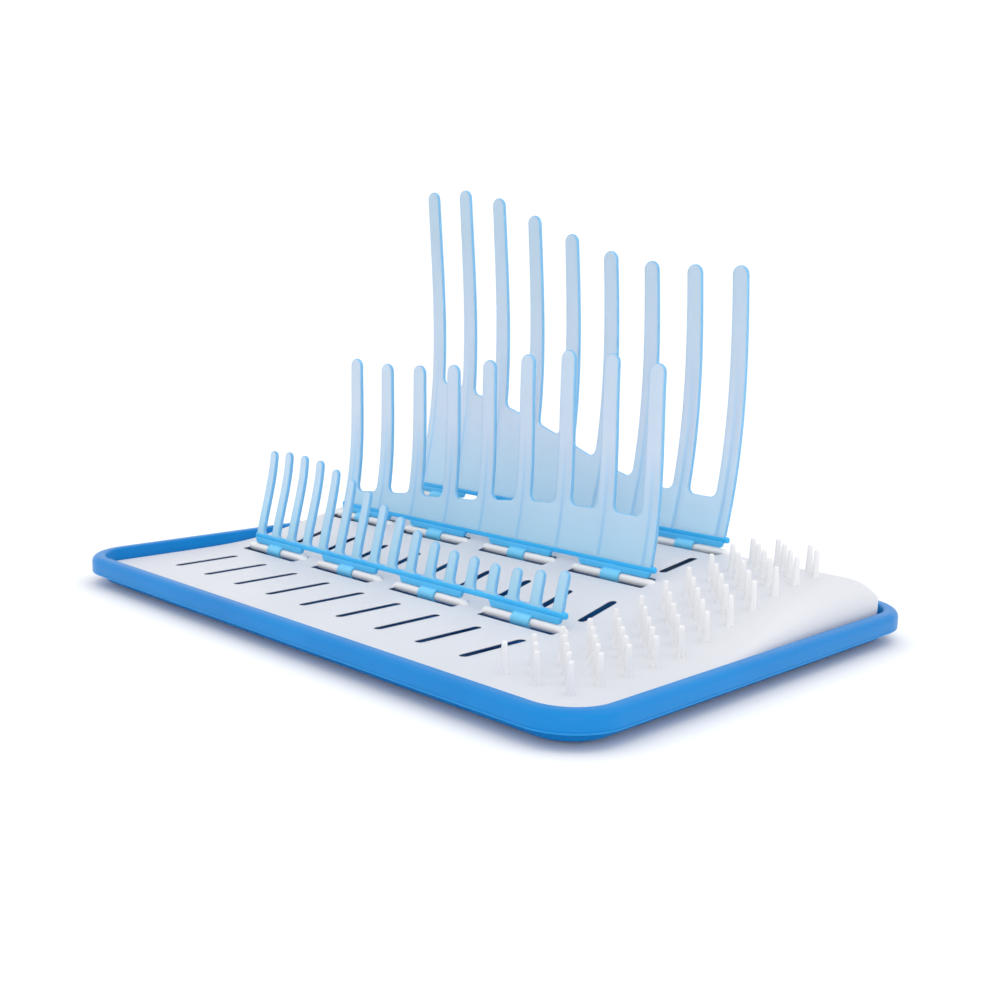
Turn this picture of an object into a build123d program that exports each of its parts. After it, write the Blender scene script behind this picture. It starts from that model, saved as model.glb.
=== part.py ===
from build123d import *
import os
from math import sin, cos, radians, hypot

# Bottle drying rack: a shallow drip tray, a lift-out draining deck with drying
# pegs at one end, and three rows of curved tines that fold down on snap hinges.
# Millimetres.  +X runs along the hinge rods towards the peg end, +Y towards the
# tallest tine row, +Z up.  z = 0 is the surface that the rack stands on.

# ---------------------------------------------------------------- tray
TRAY_L, TRAY_W, TRAY_R = 380.0, 263.0, 28.0   # outer plan size, corner radius
TRAY_H = 16.3          # rim crest
SKIRT_Z = 7.1          # lower edge of the rolled-over rim
SKIRT_T = 2.2          # rim skirt thickness
FLOOR_Z = 3.0          # top of the tray floor
BASE_Z = 1.6           # underside of the tray floor
CAV_LOW, CAV_TOP = 9.8, 7.3     # inset of the inner wall, at floor and crest
OUT_LOW, OUT_TOP = 8.0, 5.2     # inset of the outer wall under the rim
RIB_N, RIB_PITCH, RIB_WIDE, RIB_LEN = 17, 14.4, 6.0, 356.0

# ---------------------------------------------------------------- deck
DECK_INSET, DECK_T = 10.2, 1.8
DECK_X, DECK_Y = TRAY_L / 2 - DECK_INSET, TRAY_W / 2 - DECK_INSET
DECK_R = TRAY_R - DECK_INSET
FRONT_Z = 10.2         # flat front part of the deck
HUMP_Z = 31.5          # raised back part
RISE = [(-60.0, 10.25), (-40.0, 10.6), (-21.0, 12.0), (-3.0, 15.4), (15.6, 19.9),
        (33.9, 23.9), (52.3, 28.0), (70.7, 30.7)]
RISE_Y0, RISE_Y1 = -85.0, 88.0
ROLL = [(104.0, 30.3), (113.0, 26.3), (118.6, 19.5)]
ROLL_IN = [(103.1, 28.55), (111.6, 24.8), (116.9, 18.6)]
END_A, END_Z = 16.8, 12.0       # how far the two ends roll down

# ---------------------------------------------------------------- drying pegs
PEG_X, PEG_PX, PEG_Y, PEG_PY, PEG_H = 154.8, 18.7, -94.7, 18.38, 14.0
PEG_W0, PEG_W1, PEG_B0, PEG_B1 = 3.6, 2.5, 1.9, 1.4

# ---------------------------------------------------------------- hinges
ROD_R = 2.50
CLIP_GAP = 0.06        # radial running clearance of a clip on its rod
CLIP_R = 4.0
CLIP_LEN = 12.0
WIN_X = [-136.9, -69.4, -1.5, 66.4]    # window centres along a row
WIN_HALF = 25.2
WIN_FRONT, WIN_BACK = 7.8, 4.6        # from the rod axis
SEG_HALF = 24.2                       # stiff bar segment that folds into a window
BAR_TOP = 8.9                         # bar top above the rod axis
STRIP_LOW = 5.6
SEG_LOW = 2.7
BAR_HALF = 1.5

# ---------------------------------------------------------------- tine rows
# ax is the rod axis (y, z); ref is the height above it where the curve starts.
XL, XR = -158.6, 91.0
FIN_T = 2.5
FINS = {
    "front": dict(ax=(-28.9, 11.1), y0=1.0, ref=7.5, abc=(0.19, 0.38, -0.70), w=3.34, wt=2.95,
                  tips=[50.7, 51.6, 51.2, 50.1, 46.6, 42.8, 38.3, 33.0, 28.4, 23.5,
                        19.8, 17.7, 17.2, 16.1, 16.7, 18.2, 20.3],
                  web=None, rib=None),
    "middle": dict(ax=(37.8, 23.6), y0=1.2, ref=8.4, abc=(0.25, -0.37, 0.17), w=5.69, wt=4.8,
                   tips=[91.9, 90.5, 91.3, 93.5, 98.0, 102.9, 106.8, 106.7, 103.4],
                   web=[9.2, 12.1, 13.7, 15.6, 19.9, 23.0, 24.6, 24.4], rib=62.0),
    "back": dict(ax=(101.2, 31.2), y0=1.3, ref=8.0, abc=(0.32, -0.25, 0.05), w=5.6, wt=4.8,
                 tips=[191.5, 191.8, 186.1, 175.0, 163.8, 153.9, 148.4, 146.7, 146.3],
                 web=[66.0, 61.0, 54.5, 45.3, 35.0, 25.5, 21.1, 20.6], rib=105.0),
}


def deck_top(y):
    """Height of the deck's upper face, by linear steps between the section's points."""
    pts = [(-125.0, FRONT_Z), (RISE_Y0, FRONT_Z)] + RISE + [(RISE_Y1, HUMP_Z), (96.0, HUMP_Z)] + ROLL
    for (y0, z0), (y1, z1) in zip(pts, pts[1:]):
        if y0 <= y <= y1:
            return z0 + (z1 - z0) * (y - y0) / (y1 - y0)
    return FRONT_Z


def ring(inset, z, r=None):
    return Pos(0, 0, z) * RectangleRounded(TRAY_L - 2 * inset, TRAY_W - 2 * inset,
                                           (TRAY_R - inset) if r is None else r)


# ================================================================ tray
rim = extrude(ring(0, SKIRT_Z), amount=TRAY_H - SKIRT_Z)
rim -= extrude(ring(SKIRT_T, SKIRT_Z - 1), amount=13.6 - SKIRT_Z + 1)
wall = loft([ring(OUT_LOW, BASE_Z), ring(OUT_TOP, 14.5)])
cavity = loft([ring(CAV_LOW, FLOOR_Z), ring(CAV_TOP - 0.3, TRAY_H + 1.5)])
tray = (rim + wall) - cavity
crest = tray.edges().filter_by(lambda e: abs(e.center().Z - TRAY_H) < 0.01 and
                               abs(e.bounding_box().size.Z) < 0.01)
try:
    big = [e for e in crest if (abs(e.center().X) > TRAY_L / 2 - 3 or abs(e.center().Y) > TRAY_W / 2 - 3
                                or hypot(max(0, abs(e.center().X) - (TRAY_L / 2 - TRAY_R)),
                                         max(0, abs(e.center().Y) - (TRAY_W / 2 - TRAY_R))) > TRAY_R - 5)]
    small = [e for e in crest if e not in big]
    tray = fillet(big, 3.2)
    crest2 = tray.edges().filter_by(lambda e: abs(e.center().Z - TRAY_H) < 0.01 and
                                    abs(e.bounding_box().size.Z) < 0.01)
    inner = [e for e in crest2 if (abs(e.center().X) < TRAY_L / 2 - 6.0 and abs(e.center().Y) < TRAY_W / 2 - 6.0
                                   and hypot(max(0, abs(e.center().X) - (TRAY_L / 2 - TRAY_R)),
                                             max(0, abs(e.center().Y) - (TRAY_W / 2 - TRAY_R))) < TRAY_R - 5.5)]
    tray = fillet(inner, 1.8)
except Exception as err:
    print("rim edge left square:", err)

# Long rounded ribs under the floor, that the rack stands on.
rib_face = make_face([
    Line((-RIB_WIDE / 2, BASE_Z), (-RIB_WIDE / 2, 1.5)),
    ThreePointArc((-RIB_WIDE / 2, 1.5), (-RIB_WIDE / 2 + 0.44, 0.44), (-RIB_WIDE / 2 + 1.5, 0.0)),
    Line((-RIB_WIDE / 2 + 1.5, 0.0), (RIB_WIDE / 2 - 1.5, 0.0)),
    ThreePointArc((RIB_WIDE / 2 - 1.5, 0.0), (RIB_WIDE / 2 - 0.44, 0.44), (RIB_WIDE / 2, 1.5)),
    Line((RIB_WIDE / 2, 1.5), (RIB_WIDE / 2, BASE_Z)),
    Line((RIB_WIDE / 2, BASE_Z), (-RIB_WIDE / 2, BASE_Z))])
feet = []
for i in range(RIB_N):
    y = (i - (RIB_N - 1) / 2) * RIB_PITCH
    length = RIB_LEN - (0 if abs(y) < 95 else 8 if abs(y) < 110 else 22)
    rib = extrude(Plane(origin=(-length / 2, y, 0), x_dir=(0, 1, 0), z_dir=(1, 0, 0)) * rib_face, amount=length)
    feet.append(rib)

# ================================================================ deck


def yz(face, x0, x1):
    """Extrude a face drawn as (y, z) from x0 to x1."""
    return extrude(Plane(origin=(x0, 0, 0), x_dir=(0, 1, 0), z_dir=(1, 0, 0)) * face, amount=x1 - x0)


def xz(face, half):
    """Extrude a face drawn as (x, z) over -half..half in Y."""
    return extrude(Plane(origin=(0, half, 0), x_dir=(1, 0, 0), z_dir=(0, -1, 0)) * face, amount=2 * half)


def section(off, z_low, roll):
    ye, zf, zh = DECK_Y - off, FRONT_Z - off, HUMP_Z - off
    r = 1.6
    rise = [(RISE_Y0, zf)] + [(a, b - off) for a, b in RISE] + [(RISE_Y1, zh)]
    return make_face([
        Line((-ye, z_low), (-ye, zf - r)),
        ThreePointArc((-ye, zf - r), (-ye + r * 0.293, zf - r * 0.293), (-ye + r, zf)),
        Line((-ye + r, zf), (RISE_Y0, zf)),
        Spline(*rise, tangents=[(1, 0), (1, 0)]),
        Line((RISE_Y1, zh), (95.0, zh)),
        Spline((95.0, zh), *roll, (ye, 9.0), tangents=[(1, 0), (0, -1)]),
        Line((ye, 9.0), (ye, z_low)),
        Line((ye, z_low), (-ye, z_low))])


def ends(off, z_low):
    xe, zt = DECK_X - off, HUMP_Z - off + 0.4
    xa, b = DECK_X - END_A, HUMP_Z + 0.4 - END_Z
    a = END_A - off
    bb = b - off
    return make_face([
        Line((-xe, z_low), (-xe, END_Z)),
        ThreePointArc((-xe, END_Z), (-xa - a * cos(radians(40)), END_Z + bb * sin(radians(40))),
                      (-xa - a * cos(radians(70)), END_Z + bb * sin(radians(70)))),
        Line((-xa - a * cos(radians(70)), END_Z + bb * sin(radians(70))), (-xa, zt)),
        Line((-xa, zt), (xa, zt)),
        Line((xa, zt), (xa + a * cos(radians(70)), END_Z + bb * sin(radians(70)))),
        ThreePointArc((xa + a * cos(radians(70)), END_Z + bb * sin(radians(70))),
                      (xa + a * cos(radians(40)), END_Z + bb * sin(radians(40))), (xe, END_Z)),
        Line((xe, END_Z), (xe, z_low)),
        Line((xe, z_low), (-xe, z_low))])


def plan(off, z0, z1):
    return extrude(Pos(0, 0, z0) * RectangleRounded(2 * (DECK_X - off), 2 * (DECK_Y - off), DECK_R - off),
                   amount=z1 - z0)


outer_deck = yz(section(0, FLOOR_Z, ROLL), -200, 200) & xz(ends(0, FLOOR_Z), 150) & plan(0, FLOOR_Z, 40)
inner_deck = (yz(section(DECK_T, FLOOR_Z - 1, ROLL_IN), -200, 200) & xz(ends(DECK_T, FLOOR_Z - 1), 150)
              & plan(DECK_T, FLOOR_Z - 1, 40))
deck = outer_deck - inner_deck

# Drain slots along Y, between the hinge rows.
SLOT_W = 4.6
SLOTS = [(-91.5, -50.5, [-147.0 + 29.3 * i for i in range(9)]),
         (-14.5, 12.0, [-142.5 + 29.0 * i for i in range(9)]),
         (50.5, 80.0, [-144.0 + 29.0 * i for i in range(9)])]
for y0, y1, xs in SLOTS:
    for x in xs:
        deck -= extrude(Pos(x, (y0 + y1) / 2, FLOOR_Z + 1) * SlotOverall(y1 - y0, SLOT_W, rotation=90), amount=40)

# Hinge windows, and the stubs that carry the rods at their ends.
for name, f in FINS.items():
    ay, az = f["ax"]
    for x in WIN_X:
        deck -= Pos(x, ay + (WIN_BACK - WIN_FRONT) / 2, az) * Box(2 * WIN_HALF, WIN_FRONT + WIN_BACK, 16)
for name, f in FINS.items():
    ay, az = f["ax"]
    for x in WIN_X:
        for side in (-1, 1):
            x0 = x + side * WIN_HALF
            stub = Pos(x0 + side * 2.75, ay, az) * Rot(0, 90, 0) * Cylinder(ROD_R, 5.5)
            # a web under the stub ties it into the deck
            tie = Pos(x0 + side * 2.75, ay, az - 1.4) * Box(5.5, 3.6, 2.8)
            deck += stub + tie

# ================================================================ rods
rods = {}
for name, f in FINS.items():
    ay, az = f["ax"]
    rods[name] = [Pos(x, ay, az) * Rot(0, 90, 0) * Cylinder(ROD_R, 2 * WIN_HALF) for x in WIN_X]

# ================================================================ pegs


def cross(w, b, z):
    h, k = w / 2, b / 2
    pts = [(k, k), (k, h), (-k, h), (-k, k), (-h, k), (-h, -k), (-k, -k), (-k, -h), (k, -h), (k, -k), (h, -k), (h, k)]
    return Pos(0, 0, z) * make_face(Polyline(*pts, close=True))


peg = loft([cross(PEG_W0, PEG_B0, -2.6), cross(PEG_W1, PEG_B1, PEG_H)], ruled=True)
pegs = []
for col in range(5):
    x = PEG_X - col * PEG_PX / 2
    for k in range(11):
        y = PEG_Y + PEG_PY * (k + (0.5 if col % 2 else 0.0))
        one = (Pos(x, y, deck_top(y)) * peg) - outer_deck
        solids = one.solids()
        pegs.append(max(solids, key=lambda s: s.volume))

# ================================================================ tine rows


def curve_y(f, s):
    a, b, c = f["abc"]
    return f["ax"][0] + f["y0"] + a * s + b * s * s / 100 + c * s ** 3 / 10000


def side(f, off, s0, s1, n):
    """Points (y, z) at a signed distance from the row's middle surface."""
    out = []
    for i in range(n + 1):
        s = s0 + (s1 - s0) * i / n
        a, b, c = f["abc"]
        t = a + 2 * b * s / 100 + 3 * c * s * s / 10000
        k = hypot(1, t)
        o = off(s) if callable(off) else off
        out.append((curve_y(f, s) + o / k, f["ax"][1] + f["ref"] + s - o * t / k))
    return out


def blade_face(f, lo, hi, s0, s1, n):
    p, q = side(f, lo, s0, s1, n), side(f, hi, s0, s1, n)
    return make_face([Spline(*p), Line(p[-1], q[-1]), Spline(*reversed(q)), Line(q[0], p[0])])


def web_line(f, xs, x):
    mids = [(a + b) / 2 for a, b in zip(xs, xs[1:])]
    ws = f["web"]
    if x <= mids[0]:
        i = 0
    elif x >= mids[-1]:
        i = len(mids) - 2
    else:
        i = max(j for j in range(len(mids) - 1) if mids[j] <= x)
    t = (x - mids[i]) / (mids[i + 1] - mids[i])
    return max(4.0, ws[i] + (ws[i + 1] - ws[i]) * t)


nodes = {}
for name, f in FINS.items():
    n = len(f["tips"])
    xs = [XL + f["w"] + (XR - XL - 2 * f["w"]) * i / (n - 1) for i in range(n)]
    smax = max(f["tips"]) + 3
    z0 = f["ax"][1] + f["ref"]
    root = BAR_TOP - f["ref"]
    body = yz(blade_face(f, -FIN_T / 2, FIN_T / 2, -1.5, smax, 14), XL - 2, XR + 2)
    if f["rib"]:
        rib = blade_face(f, 0.2, lambda s, f=f: FIN_T / 2 + 2.0 * max(0.03, 1 - s / f["rib"]), -1.5, f["rib"], 8)
        for x in xs:
            body += yz(rib, x - 0.9, x + 0.9)
    tines = []
    for x, tip in zip(xs, f["tips"]):
        w, wt = f["w"], f["wt"]
        lo_l = web_line(f, xs, x - w) if f["web"] else root
        lo_r = web_line(f, xs, x + w) if f["web"] else root
        zt = z0 + tip
        outline = make_face([
            Line((x - w, z0 + lo_l), (x - wt, zt - wt)),
            ThreePointArc((x - wt, zt - wt), (x, zt), (x + wt, zt - wt)),
            Line((x + wt, zt - wt), (x + w, z0 + lo_r)),
            Line((x + w, z0 + lo_r), (x - w, z0 + lo_l))])
        got = body & xz(outline, 200)
        tines.append(max(got.solids(), key=lambda s: s.volume))
    nodes[name + "_fin_tines"] = tines
    if f["web"]:
        top = []
        for x in xs:
            top += [(x - f["w"], z0 + web_line(f, xs, x - f["w"])), (x + f["w"], z0 + web_line(f, xs, x + f["w"]))]
        pts = [(top[0][0], z0 + root)] + top + [(top[-1][0], z0 + root)]
        got = body & xz(make_face(Polyline(*pts, close=True)), 200)
        nodes[name + "_fin_web"] = [max(got.solids(), key=lambda s: s.volume)]
    # hinge bar: a full-length strip, stiff segments over the windows, and open clips
    ay, az = f["ax"]
    bar = Pos((XL + XR) / 2 + 0.75, ay + f["y0"], az + (STRIP_LOW + BAR_TOP) / 2) * Box(
        XR - XL + 3.5, 2 * BAR_HALF, BAR_TOP - STRIP_LOW)
    for x in WIN_X:
        x0, x1 = max(x - SEG_HALF, XL - 0.6), x + SEG_HALF
        seg = Pos((x0 + x1) / 2, ay + f["y0"] * 0.7, az + (SEG_LOW + STRIP_LOW) / 2 + 0.1) * Box(
            x1 - x0, 2 * BAR_HALF, STRIP_LOW - SEG_LOW + 0.2)
        bar += seg
    for x in WIN_X:
        tube = Pos(x, ay, az) * Rot(0, 90, 0) * Cylinder(CLIP_R, CLIP_LEN)
        tube -= Pos(x, ay, az - 4.0) * Box(CLIP_LEN + 2, 3.2, 8.0)
        bar += tube
    for x in WIN_X:
        bar -= Pos(x, ay, az) * Rot(0, 90, 0) * Cylinder(ROD_R + CLIP_GAP, CLIP_LEN + 2)
    nodes[name + "_fin_bar"] = bar.solids()

nodes["tray"] = tray.solids()
nodes["tray_feet"] = feet
nodes["deck"] = deck.solids()
nodes["deck_pegs"] = pegs
for name in FINS:
    nodes["hinge_rods_" + name] = rods[name]

os.makedirs("parts", exist_ok=True)
for name, solids in nodes.items():
    shape = solids[0] if len(solids) == 1 else Compound(children=list(solids))
    shape.label = name
    export_step(shape, "parts/" + name + ".step")
    print(name, len(solids), "solids, volume cm3", round(sum(s.volume for s in solids) / 1000, 2))
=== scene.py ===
import math

import bmesh
import bpy
from mathutils import Matrix, Vector
from mathutils.geometry import delaunay_2d_cdt


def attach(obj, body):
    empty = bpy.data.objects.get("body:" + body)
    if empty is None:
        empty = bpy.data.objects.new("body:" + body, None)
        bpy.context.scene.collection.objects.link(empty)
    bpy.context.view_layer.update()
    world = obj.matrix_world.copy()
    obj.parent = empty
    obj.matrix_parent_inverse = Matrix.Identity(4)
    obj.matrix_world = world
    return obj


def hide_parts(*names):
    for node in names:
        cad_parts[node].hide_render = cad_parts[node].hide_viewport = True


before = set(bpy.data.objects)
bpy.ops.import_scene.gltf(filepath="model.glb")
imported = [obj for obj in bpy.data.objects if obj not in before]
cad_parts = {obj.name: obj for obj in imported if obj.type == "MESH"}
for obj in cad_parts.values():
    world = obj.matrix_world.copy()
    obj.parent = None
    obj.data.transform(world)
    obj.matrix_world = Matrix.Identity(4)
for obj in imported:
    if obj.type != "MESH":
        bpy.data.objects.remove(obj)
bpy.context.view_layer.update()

# Lengths below are in millimetres and go to metres when a mesh is made.
MM = 0.001

# ------------------------------------------------------------------ sizes
TRAY_L, TRAY_W, TRAY_R, TRAY_H = 380.0, 263.0, 28.0, 16.3
FLOOR_Z, BASE_Z, SKIRT_Z = 3.0, 1.6, 7.1
RIB_N, RIB_PITCH, RIB_WIDE, RIB_LEN = 17, 14.4, 6.0, 356.0
DECK_INSET, DECK_T = 10.2, 1.8
DECK_X, DECK_Y = TRAY_L / 2 - DECK_INSET, TRAY_W / 2 - DECK_INSET
DECK_R = TRAY_R - DECK_INSET
FRONT_Z, HUMP_Z = 10.2, 31.5
PEG_X, PEG_PX, PEG_Y, PEG_PY, PEG_H = 154.8, 18.7, -94.7, 18.38, 14.0
ROD_R, CLIP_GAP, CLIP_R, CLIP_LEN = 2.50, 0.06, 4.0, 12.0
WIN_X = [-136.9, -69.4, -1.5, 66.4]
WIN_HALF, WIN_FRONT, WIN_BACK = 25.2, 7.8, 4.6
SEG_HALF, BAR_TOP, STRIP_LOW, SEG_LOW, BAR_HALF = 24.2, 8.9, 5.6, 2.7, 1.5
XL, XR, FIN_T = -158.6, 91.0, 2.5
FINS = {
    "front": dict(ax=(-28.9, 11.1), y0=1.0, ref=7.5, abc=(0.19, 0.38, -0.70), w=3.34, wt=2.95,
                  tips=[50.7, 51.6, 51.2, 50.1, 46.6, 42.8, 38.3, 33.0, 28.4, 23.5,
                        19.8, 17.7, 17.2, 16.1, 16.7, 18.2, 20.3],
                  web=None, rib=None),
    "middle": dict(ax=(37.8, 23.6), y0=1.2, ref=8.4, abc=(0.25, -0.37, 0.17), w=5.69, wt=4.8,
                   tips=[91.9, 90.5, 91.3, 93.5, 98.0, 102.9, 106.8, 106.7, 103.4],
                   web=[9.2, 12.1, 13.7, 15.6, 19.9, 23.0, 24.6, 24.4], rib=62.0),
    "back": dict(ax=(101.2, 31.2), y0=1.3, ref=8.0, abc=(0.32, -0.25, 0.05), w=5.6, wt=4.8,
                 tips=[191.5, 191.8, 186.1, 175.0, 163.8, 153.9, 148.4, 146.7, 146.3],
                 web=[66.0, 61.0, 54.5, 45.3, 35.0, 25.5, 21.1, 20.6], rib=105.0),
}
SLOT_W = 4.6
SLOTS = [(-91.5, -50.5, [-147.0 + 29.3 * i for i in range(9)]),
         (-14.5, 12.0, [-142.5 + 29.0 * i for i in range(9)]),
         (50.5, 80.0, [-144.0 + 29.0 * i for i in range(9)])]


# ------------------------------------------------------------------ mesh help
def new_mesh(name, verts, faces, edge=None, smooth=True, angle=None):
    me = bpy.data.meshes.new(name)
    me.from_pydata([(x * MM, y * MM, z * MM) for x, y, z in verts], [], faces)
    me.validate()
    # the edge attribute carries painted light: highlights and edge glow that the shaders mix into the colour
    if edge is not None:
        at = me.attributes.new("edge", "FLOAT", "POINT")
        for i, v in enumerate(edge):
            at.data[i].value = v
    ob = bpy.data.objects.new(name, me)
    bpy.context.scene.collection.objects.link(ob)
    bm = bmesh.new()
    bm.from_mesh(me)
    bmesh.ops.recalc_face_normals(bm, faces=bm.faces)
    bm.to_mesh(me)
    bm.free()
    for p in me.polygons:
        p.use_smooth = smooth
    if angle is not None:
        me.set_sharp_from_angle(angle=math.radians(angle))
    return ob


class Mesh:
    """Gathers verts, faces and the edge value of each vert, which paints highlights and edge light into the shaders'
    colour.
    """

    def __init__(self):
        self.v, self.f, self.e = [], [], []

    def add(self, pts, edge=0.0):
        i0 = len(self.v)
        self.v += list(pts)
        self.e += list(edge) if isinstance(edge, (list, tuple)) else [edge] * len(pts)
        return list(range(i0, i0 + len(pts)))

    def bridge(self, a, b, closed=True):
        n = len(a)
        for i in range(n if closed else n - 1):
            j = (i + 1) % n
            self.f.append((a[i], a[j], b[j], b[i]))

    def cap(self, a):
        self.f.append(tuple(a))

    def sweep(self, sections, closed=True, caps=True, edge=0.0):
        rows = [self.add(s, edge) for s in sections]
        for a, b in zip(rows, rows[1:]):
            self.bridge(a, b, closed)
        if caps:
            self.cap(rows[0])
            self.cap(rows[-1])
        return rows

    def obj(self, name, edge=True, angle=None):
        return new_mesh(name, self.v, self.f, self.e if edge else None, True, angle)


def smoothstep(t):
    t = min(1.0, max(0.0, t))
    return t * t * (3 - 2 * t)


def hermite(pts, m0, m1):
    """A monotone-looking cubic through points, as a function of the first value."""
    n = len(pts)
    d = [(pts[i + 1][1] - pts[i][1]) / (pts[i + 1][0] - pts[i][0]) for i in range(n - 1)]
    m = [m0] + [(d[i - 1] + d[i]) / 2 for i in range(1, n - 1)] + [m1]

    def f(x):
        if x <= pts[0][0]:
            return pts[0][1]
        if x >= pts[-1][0]:
            return pts[-1][1]
        i = max(k for k in range(n - 1) if pts[k][0] <= x)
        h = pts[i + 1][0] - pts[i][0]
        t = (x - pts[i][0]) / h
        return ((2 * t ** 3 - 3 * t ** 2 + 1) * pts[i][1] + (t ** 3 - 2 * t ** 2 + t) * h * m[i]
                + (-2 * t ** 3 + 3 * t ** 2) * pts[i + 1][1] + (t ** 3 - t ** 2) * h * m[i + 1])
    return f


def rrect(hx, hy, r, arc=14, nx=24, ny=16):
    """A rounded rectangle's points, anticlockwise, always the same number."""
    pts = []
    for cx, cy, a0 in ((hx - r, hy - r, 0), (-hx + r, hy - r, 90), (-hx + r, -hy + r, 180), (hx - r, -hy + r, 270)):
        for i in range(arc + 1):
            a = math.radians(a0 + 90.0 * i / arc)
            pts.append((cx + r * math.cos(a), cy + r * math.sin(a)))
        nxt = {0: (-hx + r, hy), 90: (-hx, -hy + r), 180: (hx - r, -hy), 270: (hx, hy - r)}[a0]
        n = nx if a0 in (0, 180) else ny
        x0, y0 = pts[-1]
        for i in range(1, n):
            pts.append((x0 + (nxt[0] - x0) * i / n, y0 + (nxt[1] - y0) * i / n))
    return pts


def arc_pts(cx, cy, r, a0, a1, n):
    return [(cx + r * math.cos(math.radians(a0 + (a1 - a0) * i / n)),
             cy + r * math.sin(math.radians(a0 + (a1 - a0) * i / n))) for i in range(n + 1)]


def stadium(cx, cy, length, width, n=8):
    """A slot outline, long way along Y."""
    r, h = width / 2, length / 2 - width / 2
    return arc_pts(cx, cy + h, r, 0, 180, n) + arc_pts(cx, cy - h, r, 180, 360, n)


def offset_loop(loop, d):
    """Moves a closed anticlockwise loop to its left (inwards) by d."""
    n = len(loop)
    out = []
    for i in range(n):
        ax, ay = loop[i - 1]
        bx, by = loop[i]
        cx, cy = loop[(i + 1) % n]
        u = Vector((bx - ax, by - ay))
        w = Vector((cx - bx, cy - by))
        if u.length < 1e-9 or w.length < 1e-9:
            out.append((bx, by))
            continue
        u.normalize()
        w.normalize()
        nu, nw = Vector((-u.y, u.x)), Vector((-w.y, w.x))
        m = nu + nw
        if m.length < 1e-6:
            m = nu
        m.normalize()
        c = max(0.35, m.dot(nu))
        out.append((bx + m.x * d / c, by + m.y * d / c))
    return out


def triangulate(loops, inner, lines=()):
    """Constrained triangles inside loops[0] and outside the others."""
    pts, edges = [], []
    for loop in loops:
        i0 = len(pts)
        pts += [Vector(p) for p in loop]
        n = len(loop)
        edges += [(i0 + i, i0 + (i + 1) % n) for i in range(n)]
    for line in lines:
        i0 = len(pts)
        pts += [Vector(p) for p in line]
        edges += [(i0 + i, i0 + i + 1) for i in range(len(line) - 1)]
    pts += [Vector(p) for p in inner]
    co, _, faces, orig, _, _ = delaunay_2d_cdt(pts, edges, [], 0, 1e-5)
    keep = []

    def inside(loop, x, y):
        c = False
        n = len(loop)
        for i in range(n):
            x1, y1 = loop[i]
            x2, y2 = loop[(i + 1) % n]
            if (y1 > y) != (y2 > y) and x < (x2 - x1) * (y - y1) / (y2 - y1) + x1:
                c = not c
        return c
    boxes = [(min(p[0] for p in lp), max(p[0] for p in lp), min(p[1] for p in lp), max(p[1] for p in lp)) for lp in loops]
    for f in faces:
        x = sum(co[i].x for i in f) / len(f)
        y = sum(co[i].y for i in f) / len(f)
        if not inside(loops[0], x, y):
            continue
        if any(b[0] <= x <= b[1] and b[2] <= y <= b[3] and inside(lp, x, y) for lp, b in zip(loops[1:], boxes[1:])):
            continue
        keep.append(tuple(f))
    # where each given loop point went
    where = {}
    for i, o in enumerate(orig):
        for k in o:
            where[k] = i
    idx, i0 = [], 0
    for loop in loops:
        idx.append([where[i0 + i] for i in range(len(loop))])
        i0 += len(loop)
    return [(c.x, c.y) for c in co], keep, idx


# ------------------------------------------------------------------ materials
def node_mat(name, build):
    mat = bpy.data.materials.new(name)
    mat.use_nodes = True
    nt = mat.node_tree
    nt.nodes.clear()
    out = nt.nodes.new("ShaderNodeOutputMaterial")
    bsdf = nt.nodes.new("ShaderNodeBsdfPrincipled")
    nt.links.new(bsdf.outputs[0], out.inputs[0])
    build(nt, bsdf)
    return mat


def noise(nt, scale, detail=3.0, rough=0.55, coord=None, stretch=(1, 1, 1)):
    if coord is None:
        tc = nt.nodes.new("ShaderNodeTexCoord")
        mp = nt.nodes.new("ShaderNodeMapping")
        mp.inputs["Scale"].default_value = stretch
        nt.links.new(tc.outputs["Object"], mp.inputs["Vector"])
        coord = mp.outputs["Vector"]
    n = nt.nodes.new("ShaderNodeTexNoise")
    n.inputs["Scale"].default_value = scale
    n.inputs["Detail"].default_value = detail
    n.inputs["Roughness"].default_value = rough
    nt.links.new(coord, n.inputs["Vector"])
    return n.outputs["Fac"]


def ramp(nt, fac, stops):
    r = nt.nodes.new("ShaderNodeValToRGB")
    el = r.color_ramp.elements
    while len(el) < len(stops):
        el.new(0.5)
    for e, (p, c) in zip(el, stops):
        e.position = p
        e.color = (*c, 1.0) if len(c) == 3 else c
    nt.links.new(fac, r.inputs["Fac"])
    return r.outputs["Color"]


def maprange(nt, fac, a, b, c, d):
    m = nt.nodes.new("ShaderNodeMapRange")
    m.inputs["From Min"].default_value = a
    m.inputs["From Max"].default_value = b
    m.inputs["To Min"].default_value = c
    m.inputs["To Max"].default_value = d
    nt.links.new(fac, m.inputs["Value"])
    return m.outputs["Result"]


def mix(nt, fac, a, b, mode="MIX"):
    m = nt.nodes.new("ShaderNodeMix")
    m.data_type = "RGBA"
    m.blend_type = mode
    for sock, val in ((m.inputs[0], fac), (m.inputs[6], a), (m.inputs[7], b)):
        if hasattr(val, "links"):
            nt.links.new(val, sock)
        elif isinstance(val, (tuple, list)):
            sock.default_value = (*val, 1.0) if len(val) == 3 else val
        else:
            sock.default_value = val
    return m.outputs[2]


def attr(nt, name):
    a = nt.nodes.new("ShaderNodeAttribute")
    a.attribute_name = name
    return a.outputs["Fac"]


def bump(nt, bsdf, fac, strength, dist):
    b = nt.nodes.new("ShaderNodeBump")
    b.inputs["Strength"].default_value = strength
    b.inputs["Distance"].default_value = dist
    nt.links.new(fac, b.inputs["Height"])
    nt.links.new(b.outputs["Normal"], bsdf.inputs["Normal"])


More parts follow.
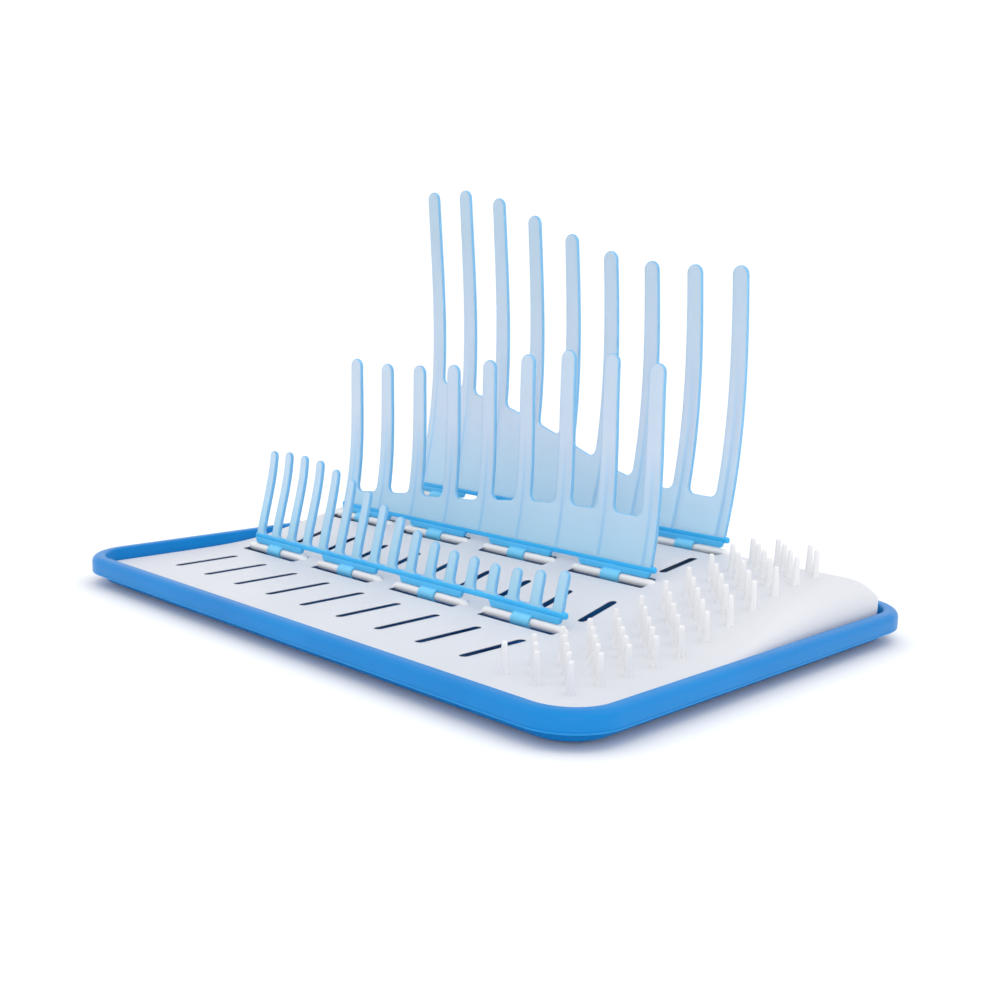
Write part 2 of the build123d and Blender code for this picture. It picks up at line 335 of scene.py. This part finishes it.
def build_tray(nt, b):
    big = noise(nt, 14.0, 2.0)
    fine = noise(nt, 900.0, 2.0)
    base = ramp(nt, big, [(0.3, (0.002, 0.200, 0.560)), (0.7, (0.003, 0.228, 0.615))])
    # painted highlight: the skirt's lower lip (edge attribute) turns lighter blue
    painted_lip_highlight = mix(nt, attr(nt, "edge"), base, (0.012, 0.265, 0.660))
    nt.links.new(painted_lip_highlight, b.inputs["Base Color"])
    nt.links.new(maprange(nt, fine, 0.3, 0.7, 0.30, 0.40), b.inputs["Roughness"])
    b.inputs["IOR"].default_value = 1.49
    b.inputs["Specular IOR Level"].default_value = 0.22
    bump(nt, b, noise(nt, 1500.0, 2.0), 0.10, 0.0001)


# deck material: the same white plastic as the pegs and rods, made darker and bluer as painted shade
def build_deck_shaded(nt, b):
    big = noise(nt, 9.0, 2.0)
    fine = noise(nt, 800.0, 2.0)
    col = ramp(nt, big, [(0.3, (0.655, 0.666, 0.712)), (0.7, (0.690, 0.697, 0.738))])
    nt.links.new(col, b.inputs["Base Color"])
    nt.links.new(maprange(nt, fine, 0.3, 0.7, 0.38, 0.50), b.inputs["Roughness"])
    b.inputs["IOR"].default_value = 1.49
    bump(nt, b, noise(nt, 1300.0, 2.0), 0.12, 0.0001)


# peg and rod material: the same white plastic as the deck, made lighter as painted light
def build_peg_lit(nt, b):
    fine = noise(nt, 700.0, 2.0)
    col = ramp(nt, noise(nt, 30.0, 2.0), [(0.3, (0.80, 0.80, 0.815)), (0.7, (0.84, 0.84, 0.85))])
    nt.links.new(col, b.inputs["Base Color"])
    nt.links.new(maprange(nt, fine, 0.3, 0.7, 0.36, 0.46), b.inputs["Roughness"])
    b.inputs["IOR"].default_value = 1.49
    b.inputs["Subsurface Weight"].default_value = 0.15
    b.inputs["Subsurface Radius"].default_value = (0.0015, 0.0015, 0.0015)
    b.inputs["Subsurface Scale"].default_value = 1.0
    bump(nt, b, noise(nt, 1300.0, 2.0), 0.10, 0.0001)


def build_fin(nt, b):
    tc = nt.nodes.new("ShaderNodeTexCoord")
    sep = nt.nodes.new("ShaderNodeSeparateXYZ")
    nt.links.new(tc.outputs["Object"], sep.inputs[0])
    up = maprange(nt, sep.outputs["Z"], 0.02, 0.20, 0.0, 1.0)
    cloud = noise(nt, 26.0, 2.5, 0.5, stretch=(1, 1, 0.45))
    face = ramp(nt, up, [(0.0, (0.450, 0.815, 1.000)), (0.15, (0.600, 0.835, 1.000)), (0.40, (0.745, 0.845, 0.970)), (1.0, (0.570, 0.715, 0.845))])
    face = mix(nt, maprange(nt, cloud, 0.3, 0.7, 0.0, 0.10), face, (0.66, 0.88, 0.98))
    # painted light: edges and ribs (edge attribute) turn deeper blue, standing in for light gathered in the plastic's
    # edges
    col = mix(nt, attr(nt, "edge"), face, (0.240, 0.640, 1.000))
    nt.links.new(col, b.inputs["Base Color"])
    nt.links.new(maprange(nt, noise(nt, 500.0, 2.0), 0.3, 0.7, 0.34, 0.44), b.inputs["Roughness"])
    b.inputs["IOR"].default_value = 1.47
    b.inputs["Transmission Weight"].default_value = 0.36
    bump(nt, b, noise(nt, 1000.0, 2.0), 0.08, 0.0001)


def build_bar(nt, b):
    cloud = noise(nt, 40.0, 2.0)
    col = ramp(nt, cloud, [(0.3, (0.025, 0.490, 1.000)), (0.7, (0.045, 0.540, 1.000))])
    # painted light: segments and clips (edge attribute) turn lighter blue, standing in for light through the thin
    # plastic
    col = mix(nt, attr(nt, "edge"), col, (0.200, 0.680, 1.000))
    nt.links.new(col, b.inputs["Base Color"])
    nt.links.new(maprange(nt, noise(nt, 600.0, 2.0), 0.3, 0.7, 0.28, 0.38), b.inputs["Roughness"])
    b.inputs["IOR"].default_value = 1.47
    b.inputs["Transmission Weight"].default_value = 0.10
    bump(nt, b, noise(nt, 1000.0, 2.0), 0.08, 0.0001)


def build_floor(nt, b):
    col = ramp(nt, noise(nt, 3.0, 3.0), [(0.3, (0.972, 0.972, 0.974)), (0.7, (0.985, 0.985, 0.985))])
    nt.links.new(col, b.inputs["Base Color"])
    b.inputs["Roughness"].default_value = 0.9
    b.inputs["Specular IOR Level"].default_value = 0.1
    bump(nt, b, noise(nt, 220.0, 2.0), 0.03, 0.0005)


M_TRAY = node_mat("tray_plastic", build_tray)
M_DECK_SHADED = node_mat("deck_plastic_shaded", build_deck_shaded)
M_PEG_LIT = node_mat("peg_plastic_lit", build_peg_lit)
M_FIN = node_mat("tine_plastic", build_fin)
M_BAR = node_mat("hinge_bar_plastic", build_bar)
M_FLOOR = node_mat("studio_floor", build_floor)


def give(ob, mat, slot, body, *nodes):
    ob.data.materials.clear()
    ob.data.materials.append(mat)
    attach(ob, body)
    if nodes:
        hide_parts(*nodes)
    return ob


# ------------------------------------------------------------------ tray
def make_tray():
    m = Mesh()
    prof = [(16.0, FLOOR_Z, 0), (11.2, FLOOR_Z, 0), (10.5, 3.15, 0), (10.0, 3.6, 0), (9.6, 4.8, 0),
            (8.9, 8.4, 0), (8.3, 11.4, 0), (7.75, 13.9, 0), (7.45, 14.9, 0)]
    # crest: small inner radius, a short flat, larger outer radius
    prof += [(7.45 - 1.6 * (1 - math.cos(math.radians(a))), 14.9 + 1.4 * math.sin(math.radians(a)), 0)
             for a in (18, 36, 54, 72, 90)]
    prof += [(4.6, 16.3, 0)]
    prof += [(3.6 - 3.6 * math.sin(math.radians(a)), 12.9 + 3.4 * math.cos(math.radians(a)), 0)
             for a in (0, 12, 24, 36, 48, 60, 72, 84, 90)]
    # the third value paints a highlight on the skirt's lower lip: painted light
    prof += [(0.0, 10.6, 0), (0.0, 8.55, 0), (0.05, 8.42, 0.0), (0.24, 8.30, 0.3), (0.24, 8.16, 0.3), (0.06, 8.06, 0.8),
             (0.02, 7.75, 1.0), (0.08, 7.40, 1.0), (0.35, 7.16, 0.8), (0.8, 7.1, 0.3), (1.7, 7.1, 0), (2.1, 7.25, 0),
             (2.2, 7.7, 0), (2.3, 12.4, 0), (2.6, 13.2, 0), (3.3, 13.6, 0), (4.7, 13.6, 0), (5.4, 13.2, 0),
             (5.7, 12.2, 0), (6.9, 7.5, 0), (7.9, 3.2, 0), (8.15, 2.2, 0), (8.75, 1.75, 0), (9.6, BASE_Z, 0),
             (16.0, BASE_Z, 0)]
    rows = []
    for ins, z, e in prof:
        loop = rrect(TRAY_L / 2 - ins, TRAY_W / 2 - ins, max(TRAY_R - ins, 6))
        rows.append(m.add([(x, y, z) for x, y in loop], float(e)))
    for a, b in zip(rows, rows[1:]):
        m.bridge(a, b)
    m.cap(rows[0])
    m.cap(rows[-1])
    ob = m.obj("tray_shell", angle=50)
    give(ob, M_TRAY, "tray_blue", "tray", "tray")

    f = Mesh()
    for i in range(RIB_N):
        y = (i - (RIB_N - 1) / 2) * RIB_PITCH
        length = RIB_LEN - (0 if abs(y) < 95 else 8 if abs(y) < 110 else 22)
        sec = []
        for t in range(0, 13):
            a = math.radians(180 + 180 * t / 12)
            c, s = math.cos(a), math.sin(a)
            yy = RIB_WIDE / 2 * math.copysign(abs(c) ** 0.62, c)
            zz = 1.0 - abs(s) ** 0.62
            sec.append((yy, zz))
        xs, n = [], 7
        for k in range(n + 1):
            a = math.radians(90 * k / n)
            xs.append((-length / 2 + 3.0 * (1 - math.sin(a)), max(0.04, math.sin(a)) if k else 0.15))
        xs = [(-length / 2 + 3.0 * (1 - math.cos(math.radians(90 * k / n))), max(0.2, math.sin(math.radians(90 * k / n))))
              for k in range(n + 1)]
        xs += [(-length / 2 + length * q / 8, 1.0) for q in range(1, 8)]
        xs += [(-x, g) for x, g in reversed(xs[:n + 1])]
        xs = sorted(xs, key=lambda p: p[0])
        secs = []
        for x, g in xs:
            wide = 0.55 + 0.45 * g
            s = [(x, y + yy * wide, BASE_Z - (BASE_Z) * g * (1 - zz)) for yy, zz in sec]
            s += [(x, y + sec[-1][0] * wide, BASE_Z + 0.35), (x, y + sec[0][0] * wide, BASE_Z + 0.35)]
            secs.append(s)
        f.sweep(secs)
    ob = f.obj("tray_ribs", angle=55)
    give(ob, M_TRAY, "tray_blue", "tray", "tray_feet")


# ------------------------------------------------------------------ deck
RISE_PTS = [(-85.0, FRONT_Z), (-60.0, 10.25), (-40.0, 10.6), (-21.0, 12.0), (-3.0, 15.4), (15.6, 19.9),
            (33.9, 23.9), (52.3, 28.0), (70.7, 30.7), (88.0, HUMP_Z)]
RISE_F = hermite(RISE_PTS, 0.0, 0.0)
END_A, END_LOW = 17.0, 9.2


def section_z(y):
    """Height of the deck's top along its mid section."""
    z = RISE_F(y)
    if y > 95.0:
        t = min(1.0, (y - 95.0) / (DECK_Y - 95.0))
        z = END_LOW + (HUMP_Z - END_LOW) * max(0.0, 1 - t ** 2.35) ** (1 / 2.15)
    if y < -DECK_Y + 2.0:
        t = min(1.0, (-DECK_Y + 2.0 - y) / 2.0)
        z = END_LOW + (z - END_LOW) * math.sqrt(max(0.0, 1 - t * t))
    return z


def deck_z(x, y):
    z = section_z(y)
    d = DECK_X - abs(x)
    # the ends roll over: short on the low front, long on the hump
    a = 3.0 + (END_A - 3.0) * min(1.0, max(0.0, (z - FRONT_Z) / (HUMP_Z - FRONT_Z))) ** 0.8
    if d < a:
        t = 1 - max(0.0, d) / a
        z = END_LOW + (z - END_LOW) * max(0.0, 1 - t ** 2.2) ** (1 / 2.2)
    return z


def deck_holes(grow):
    loops = []
    for y0, y1, xs in SLOTS:
        for x in xs:
            loops.append(stadium(x, (y0 + y1) / 2, (y1 - y0) + 2 * grow, SLOT_W + 2 * grow))
    for f in FINS.values():
        ay = f["ax"][0]
        for x in WIN_X:
            hx, hy, r = WIN_HALF + grow, (WIN_FRONT + WIN_BACK) / 2 + grow, 1.2 + grow
            cy = ay + (WIN_BACK - WIN_FRONT) / 2
            loops.append([(x + px, cy + py) for px, py in rrect(hx, hy, r, 5, 12, 4)])
    return loops


def graded(lo, hi, step, ends):
    """Positions between lo and hi, closer together near the ends listed."""
    out = {round(lo + (hi - lo) * i / max(1, round((hi - lo) / step)), 4) for i in range(max(1, round((hi - lo) / step)) + 1)}
    for e, a in ends:
        for k in range(1, 14):
            d = a * (1 - math.cos(math.radians(90 * k / 14)))
            out.add(round(e + d if e == lo else e - d, 4))
    return sorted(out)


def make_deck():
    m = Mesh()
    top_holes = deck_holes(0.35)
    mid_holes = deck_holes(0.10)
    wall_holes = deck_holes(0.0)
    low_holes = deck_holes(2.2)
    outline = rrect(DECK_X, DECK_Y, DECK_R, 18, 48, 34)
    xs = graded(-DECK_X + 0.15, DECK_X - 0.15, 5.0, [(-DECK_X + 0.15, END_A), (DECK_X - 0.15, END_A)])
    ys = graded(-DECK_Y + 0.15, DECK_Y - 0.15, 4.0, [(-DECK_Y + 0.15, 2.0), (DECK_Y - 0.15, 26.0)])

    def inside(x, y, ins):
        hx, hy, r = DECK_X - ins, DECK_Y - ins, max(0.5, DECK_R - ins)
        dx, dy = abs(x) - (hx - r), abs(y) - (hy - r)
        if dx > 0 and dy > 0:
            return math.hypot(dx, dy) < r
        return dx < r and dy < r

    boxes = [(min(p[0] for p in lp) - 0.5, max(p[0] for p in lp) + 0.5, min(p[1] for p in lp) - 0.5,
              max(p[1] for p in lp) + 0.5) for lp in top_holes]

    def free(x, y):
        return not any(b[0] < x < b[1] and b[2] < y < b[3] for b in boxes)

    # rings that follow the outline keep the rolled edge smooth
    inner = [(x, y) for x in xs for y in ys if inside(x, y, 5.2) and free(x, y)]
    rings = []
    for ins in (0.06, 0.20, 0.45, 0.85, 1.4, 2.1, 3.0, 4.1):
        loop = rrect(DECK_X - ins, DECK_Y - ins, DECK_R - ins, 18, 48, 34)
        rings.append(loop + [loop[0]])
    co, tris, idx = triangulate([outline] + top_holes, inner, rings)
    top = m.add([(x, y, deck_z(x, y)) for x, y in co])
    m.f += [tuple(top[i] for i in t) for t in tris]
    # outside wall, foot and inside wall
    ring = [top[i] for i in idx[0]]
    low = m.add([(x, y, 4.0) for x, y in outline])
    m.bridge(ring, low)
    foot = m.add([(x, y, FLOOR_Z) for x, y in rrect(DECK_X - 0.5, DECK_Y - 0.5, DECK_R - 0.5, 18, 48, 34)])
    m.bridge(low, foot)
    inn_line = rrect(DECK_X - DECK_T, DECK_Y - DECK_T, DECK_R - DECK_T, 18, 48, 34)
    foot2 = m.add([(x, y, FLOOR_Z) for x, y in inn_line])
    m.bridge(foot, foot2)

    def under(x, y):
        return deck_z(x * DECK_X / (DECK_X - DECK_T), y * DECK_Y / (DECK_Y - DECK_T)) - DECK_T

    inner2 = [(x, y) for x in xs[::2] for y in ys[::2] if inside(x, y, DECK_T + 0.6) and free(x, y)]
    co2, tris2, idx2 = triangulate([inn_line] + low_holes, inner2)
    bot = m.add([(x, y, max(FLOOR_Z + 1.5, under(x, y))) for x, y in co2])
    m.f += [tuple(bot[i] for i in t) for t in tris2]
    m.bridge(foot2, [bot[i] for i in idx2[0]])
    for k in range(len(top_holes)):
        a = [top[i] for i in idx[k + 1]]
        b = m.add([(x, y, deck_z(x, y) - 0.10) for x, y in mid_holes[k]])
        c = m.add([(x, y, deck_z(x, y) - 0.40) for x, y in wall_holes[k]])
        d = [bot[i] for i in idx2[k + 1]]
        m.bridge(a, b)
        m.bridge(b, c)
        m.bridge(c, d)
    ob = m.obj("deck_plate", edge=False, angle=50)
    give(ob, M_DECK_SHADED, "deck_white", "deck", "deck")


def make_rods():
    for name, f in FINS.items():
        ay, az = f["ax"]
        m = Mesh()
        for wx in WIN_X:
            secs = []
            stations = []
            for k in range(7):      # buried, blended left end
                t = k / 6
                stations.append((wx - WIN_HALF - 5.5 + 5.5 * t, 0.45 + 0.55 * smoothstep(t), -1.6 * (1 - smoothstep(t))))
            stations += [(wx - WIN_HALF + 2 * WIN_HALF * q / 10, 1.0, 0.0) for q in range(1, 10)]
            stations += [(2 * wx - x, r, z) for x, r, z in reversed(stations[:7])]
            for x, r, dz in stations:
                secs.append([(x, ay + ROD_R * r * math.cos(2 * math.pi * a / 28), az + dz + ROD_R * r * math.sin(2 * math.pi * a / 28))
                             for a in range(28)])
            m.sweep(secs)
        ob = m.obj("rods_" + name, edge=False, angle=60)
        # the rods take the lighter copy of the white plastic: painted light
        give(ob, M_PEG_LIT, "deck_white", "deck", "hinge_rods_" + name)


def make_pegs():
    m = Mesh()

    def star(h, k, f):
        """A plus-shaped outline: half width h, half blade k, fillet f."""
        pts = []
        for q in range(4):
            a = math.radians(90 * q)
            c, s = math.cos(a), math.sin(a)
            loc = [(h, -k * 0.6), (h, k * 0.6), (h - k * 0.35, k)]
            loc += [(k + f, k), (k + f * 0.29, k + f * 0.29), (k, k + f)]
            loc += [(k, h - k * 0.35)]
            for x, y in loc:
                pts.append((x * c - y * s, x * s + y * c))
        return pts

    for col in range(5):
        x = PEG_X - col * PEG_PX / 2
        for k in range(11):
            y = PEG_Y + PEG_PY * (k + (0.5 if col % 2 else 0.0))
            secs = []
            for dz, h, b, f in ((-1.2, 2.4, 1.20, 0.60), (0.15, 2.20, 1.12, 0.60), (0.7, 1.92, 1.02, 0.55), (1.6, 1.80, 0.95, 0.50),
                                (5.0, 1.65, 0.88, 0.46), (9.5, 1.46, 0.79, 0.40), (12.9, 1.30, 0.70, 0.34),
                                (13.6, 1.14, 0.60, 0.30), (13.95, 0.82, 0.42, 0.22)):
                low = deck_z(x, y)
                pts = []
                for px, py in star(h, b, f):
                    z = (deck_z(x + px, y + py) + dz) if dz < 1.0 else low + dz
                    pts.append((x + px, y + py, z))
                secs.append(pts)
            m.sweep(secs)
    ob = m.obj("pegs", edge=False, angle=48)
    give(ob, M_PEG_LIT, "deck_white", "deck", "deck_pegs")


# ------------------------------------------------------------------ tine rows
def place(f, x, s, n):
    """A point on a row: along it, up it, and off its middle surface."""
    a, b, c = f["abc"]
    t = a + 2 * b * s / 100 + 3 * c * s * s / 10000
    k = math.hypot(1, t)
    y = f["ax"][0] + f["y0"] + a * s + b * s * s / 100 + c * s ** 3 / 10000
    return (x, y + n / k, f["ax"][1] + f["ref"] + s - n * t / k)


def web_line(f, xs, x):
    mids = [(a + b) / 2 for a, b in zip(xs, xs[1:])]
    ws = f["web"]
    i = 0 if x <= mids[0] else len(mids) - 2 if x >= mids[-1] else max(j for j in range(len(mids) - 1) if mids[j] <= x)
    t = (x - mids[i]) / (mids[i + 1] - mids[i])
    return max(4.0, ws[i] + (ws[i + 1] - ws[i]) * t)


def fillet_chain(p0, p1, p2, r, n):
    """Points that round the corner p1 of the path p0, p1, p2."""
    a = Vector((p0[0] - p1[0], p0[1] - p1[1])).normalized()
    b = Vector((p2[0] - p1[0], p2[1] - p1[1])).normalized()
    ang = math.acos(max(-1, min(1, a.dot(b))))
    d = r / math.tan(ang / 2)
    q0, q2 = Vector(p1) + a * d, Vector(p1) + b * d
    bis = (a + b).normalized()
    c = Vector(p1) + bis * (r / math.sin(ang / 2))
    u, w = q0 - c, q2 - c
    out = []
    for i in range(n + 1):
        t = i / n
        so = math.acos(max(-1, min(1, u.normalized().dot(w.normalized()))))
        v = (u * math.sin((1 - t) * so) + w * math.sin(t * so)) / math.sin(so)
        out.append((c.x + v.x, c.y + v.y))
    return out


def fin_outline(f, xs, s_low):
    """Anticlockwise outline of a row in (x, s)."""
    pts = []
    n = len(xs)
    w, wt = f["w"], f["wt"]

    def line(p, q, step=3.0):
        d = math.hypot(q[0] - p[0], q[1] - p[1])
        k = max(1, int(d / step))
        return [(p[0] + (q[0] - p[0]) * i / k, p[1] + (q[1] - p[1]) * i / k) for i in range(1, k)]
    # bottom, left to right
    a, b = (xs[0] - w + 0.15, s_low), (xs[-1] + w - 0.15, s_low)
    pts.append(a)
    pts += line(a, b, 4.0)
    pts.append(b)
    cur = b
    for i in range(n - 1, -1, -1):
        tip = f["tips"][i] - 0.12
        right_low = cur
        rt = (xs[i] + wt, tip - wt)
        pts += line(right_low, rt)
        pts += [(xs[i] + wt * math.cos(math.radians(t)), tip - wt + wt * math.sin(math.radians(t))) for t in range(0, 181, 15)]
        lt = (xs[i] - wt, tip - wt)
        if i == 0:
            pts += line(lt, a)
            break
        # down the left side, round into the gap's floor, and up to the next tine
        gl, gr = xs[i - 1] + w, xs[i] - w
        if f["web"]:
            zl, zr = web_line(f, xs, gl), web_line(f, xs, gr)
            r = 4.2
        else:
            zl = zr = BAR_TOP - f["ref"] - 0.05
            r = 2.2
        nxt = (xs[i - 1] + wt, f["tips"][i - 1] - wt)
        c1 = fillet_chain(lt, (gr, zr), (gl, zl), r, 7)
        c2 = fillet_chain((gr, zr), (gl, zl), nxt, r, 7)
        pts += line(lt, c1[0])
        pts += c1
        pts += line(c1[-1], c2[0], 2.0)
        pts += c2
        cur = c2[-1]
    # drop doubled points
    out = []
    for p in pts:
        if not out or math.hypot(p[0] - out[-1][0], p[1] - out[-1][1]) > 0.05:
            out.append(p)
    return out


def make_fin(name):
    f = FINS[name]
    n = len(f["tips"])
    xs = [XL + f["w"] + (XR - XL - 2 * f["w"]) * i / (n - 1) for i in range(n)]
    s_low = -0.9
    outer = fin_outline(f, xs, s_low)
    r = 0.75
    l1, l2 = offset_loop(outer, 0.22), offset_loop(outer, r)
    h = FIN_T / 2

    def inside(loop, x, y):
        c = False
        k = len(loop)
        for i in range(k):
            x1, y1 = loop[i]
            x2, y2 = loop[(i + 1) % k]
            if (y1 > y) != (y2 > y) and x < (x2 - x1) * (y - y1) / (y2 - y1) + x1:
                c = not c
        return c

    safe = offset_loop(outer, r + 0.7)
    inner, lines = [], []
    ssteps = [s_low + 1.6 + 3.2 * i for i in range(int(max(f["tips"]) / 3.2) + 1)]
    rib = f["rib"]
    cols = []
    for x in xs:
        if rib:
            cols += [x - 3.2, x + 3.2]
            top = min(rib, 1e9)
            rs = [s for s in ssteps if s < top]
            for dx in (-1.35, -0.72, 0.72, 1.35):
                lines.append([(x + dx, s) for s in rs])
        else:
            cols += [x]
    gaps = [(a + b) / 2 for a, b in zip(xs, xs[1:])]
    cols += gaps + [g - 5 for g in gaps] + [g + 5 for g in gaps] if rib else gaps
    for x in cols:
        for s in ssteps:
            if inside(safe, x, s):
                inner.append((x, s))
    if rib:
        for x in xs:
            for s in ssteps:
                if s >= rib and inside(safe, x, s):
                    inner.append((x, s))
    co, tris, idx = triangulate([l2], inner, lines)

    def rib_h(x, s):
        if not rib or s > rib:
            return 0.0
        d = min(abs(x - c) for c in xs)
        hh = 2.0 * max(0.0, 1 - s / rib) ** 0.9
        return hh * (1 - smoothstep((d - 0.74) / 0.58))
    m = Mesh()
    front = m.add([place(f, x, s, -h) for x, s in co])
    m.f += [tuple(front[i] for i in t) for t in tris]
    hs = [rib_h(x, s) for x, s in co]
    # the rib height also sets painted edge light on the back face
    back = m.add([place(f, x, s, h + q) for (x, s), q in zip(co, hs)], [min(1.0, q / 0.8) for q in hs])
    m.f += [tuple(back[i] for i in reversed(t)) for t in tris]
    for i, (x, s) in enumerate(co):      # painted light: the front of the translucent sheet over each rib takes the deeper blue too
        if rib and s <= rib:
            d = min(abs(x - c) for c in xs)
            if d < 0.8:
                m.e[front[i]] = 0.55 * (1 - s / rib)
    ring_f = [front[i] for i in idx[0]]
    ring_b = [back[i] for i in idx[0]]
    # painted edge light on the rounded rim of each row
    e = 0.85
    a1 = m.add([place(f, x, s, -h + 0.20) for x, s in l1], e)
    a0 = m.add([place(f, x, s, -h + r) for x, s in outer], 1.0)
    b0 = m.add([place(f, x, s, h - r) for x, s in outer], 1.0)
    b1 = m.add([place(f, x, s, h - 0.20) for x, s in l1], e)
    for p, q in ((ring_f, a1), (a1, a0), (a0, b0), (b0, b1), (b1, ring_b)):
        m.bridge(p, q)
    ob = m.obj(name + "_tines", angle=60)
    nodes = [name + "_fin_tines"] + ([name + "_fin_web"] if f["web"] else [])
    give(ob, M_FIN, "tine_blue", name + "_fin", *nodes)


def rounded_section(y0, y1, z0, z1, r, n=4):
    pts = []
    for cy, cz, a0 in ((y1 - r, z1 - r, 0), (y0 + r, z1 - r, 90), (y0 + r, z0 + r, 180), (y1 - r, z0 + r, 270)):
        pts += arc_pts(cy, cz, r, a0, a0 + 90, n)
    return pts


def bar_block(m, x0, x1, y0, y1, z0, z1, r, slant=0.0, edge=0.0, steps=6):
    """A long block with every edge rounded; slant pulls its lower ends in."""
    cy, cz = (y0 + y1) / 2, (z0 + z1) / 2
    sec = rounded_section(y0, y1, z0, z1, r)
    st = []
    for k in range(5):
        a = math.radians(90 * k / 4)
        st.append((r * (1 - math.sin(a)) if k else r, r * (1 - math.cos(a)) if k else 0.0))
    ends = [(r * (1 - math.cos(math.radians(90 * k / 4))), r * (1 - math.sin(math.radians(90 * k / 4)))) for k in range(5)]
    # ends[k] = (distance from the end, how much the section shrinks)
    rows = []
    for d, shrink in ends:
        rows.append((x0 + d, shrink, 1))
    for i in range(1, steps):
        rows.append((x0 + r + (x1 - x0 - 2 * r) * i / steps, 0.0, 0))
    for d, shrink in reversed(ends):
        rows.append((x1 - d, shrink, -1))
    secs = []
    for x, shrink, side in rows:
        s = []
        for y, z in sec:
            fy = 1 - shrink / ((y1 - y0) / 2)
            fz = 1 - shrink / ((z1 - z0) / 2)
            yy, zz = cy + (y - cy) * max(fy, 0.05), cz + (z - cz) * max(fz, 0.05)
            s.append((x + side * slant * (z1 - zz) / (z1 - z0), yy, zz))
        secs.append(s)
    m.sweep(secs, edge=edge)


def make_bar(name):
    f = FINS[name]
    ay, az = f["ax"]
    yc = ay + f["y0"]
    m = Mesh()
    bar_block(m, XL - 1.0, XR + 2.5, yc - BAR_HALF, yc + BAR_HALF, az + STRIP_LOW, az + BAR_TOP, 1.2, 0.0, 0.0, 60)
    for x in WIN_X:
        x0, x1 = max(x - SEG_HALF, XL - 0.4), x + SEG_HALF
        ys = ay + 0.7 * f["y0"]
        # edge 0.35 paints the segments lighter: painted light through the thin plastic
        bar_block(m, x0, x1, ys - BAR_HALF, ys + BAR_HALF, az + SEG_LOW, az + STRIP_LOW + 0.6, 0.55, 1.6, 0.35, 14)
    for x in WIN_X:
        # open clip: a rounded rectangular section swept round the rod
        ri, ro, hl = ROD_R + CLIP_GAP, CLIP_R, CLIP_LEN / 2
        sec = rounded_section(-hl, hl, ri, ro, 0.45, 3)
        secs = []
        a0, a1, nn = -90 + 26, 270 - 26, 34
        for k in range(nn + 1):
            a = math.radians(a0 + (a1 - a0) * k / nn)
            grow = 0.0
            pts = []
            for u, rr in sec:
                q = rr + grow
                pts.append((x + u, ay + q * math.cos(a), az + q * math.sin(a)))
            secs.append(pts)
        # edge 0.9 paints the clips lighter: painted light through the thin plastic
        m.sweep(secs, edge=0.9)
    ob = m.obj(name + "_hinge_bar", angle=55)
    give(ob, M_BAR, "tine_blue", name + "_fin", name + "_fin_bar")


make_tray()
make_deck()
make_rods()
make_pegs()
for row in FINS:
    make_fin(row)
    make_bar(row)

# ------------------------------------------------------------------ studio
bm = bmesh.new()
bmesh.ops.create_grid(bm, x_segments=8, y_segments=8, size=6.0)
me = bpy.data.meshes.new("floor")
bm.to_mesh(me)
bm.free()
floor = bpy.data.objects.new("floor", me)
bpy.context.scene.collection.objects.link(floor)
me.materials.append(M_FLOOR)

scene = bpy.context.scene
world = bpy.data.worlds.new("studio")
scene.world = world
world.use_nodes = True
bg = world.node_tree.nodes["Background"]
bg.inputs["Color"].default_value = (1.0, 1.0, 1.0, 1.0)
bg.inputs["Strength"].default_value = 1.08
scene.view_settings.view_transform = "Standard"
scene.view_settings.look = "None"


def area(name, loc, target, size, power, color=(1, 1, 1)):
    light = bpy.data.lights.new(name, "AREA")
    light.shape = "DISK"
    light.size = size
    light.energy = power
    light.color = color
    ob = bpy.data.objects.new(name, light)
    scene.collection.objects.link(ob)
    ob.location = loc
    ob.rotation_euler = (Vector(target) - Vector(loc)).to_track_quat("-Z", "Y").to_euler()
    return ob


area("key", (0.9, 0.4, 1.5), (0, 0, 0.05), 1.0, 2.2)
area("fill", (-1.0, -0.9, 1.3), (0, 0, 0.05), 1.2, 1.0)
area("top", (0.0, 0.1, 1.9), (0, 0, 0.0), 1.6, 1.2)
area("front", (0.80, -0.80, 0.16), (0, 0, 0.01), 0.6, 0.9)

cam_data = bpy.data.cameras.new("camera")
cam = bpy.data.objects.new("camera", cam_data)
scene.collection.objects.link(cam)
cam_data.sensor_width = 36.0
cam_data.lens = 36.0 * 1263.92 / 990.0
cam_data.clip_start, cam_data.clip_end = 0.01, 50.0
yaw, pitch, roll = 2.35040401, 0.163537296, 0.0251102974
fwd = Vector((math.cos(pitch) * math.cos(yaw), math.cos(pitch) * math.sin(yaw), -math.sin(pitch)))
right = fwd.cross(Vector((0, 0, 1))).normalized()
up = right.cross(fwd)
r2 = right * math.cos(roll) + up * math.sin(roll)
u2 = up * math.cos(roll) - right * math.sin(roll)
rot = Matrix((r2, u2, -fwd)).transposed()
cam.matrix_world = Matrix.Translation(Vector((0.474711336, -0.464127089, 0.154743913 + 0.0163))) @ rot.to_4x4()
scene.camera = cam
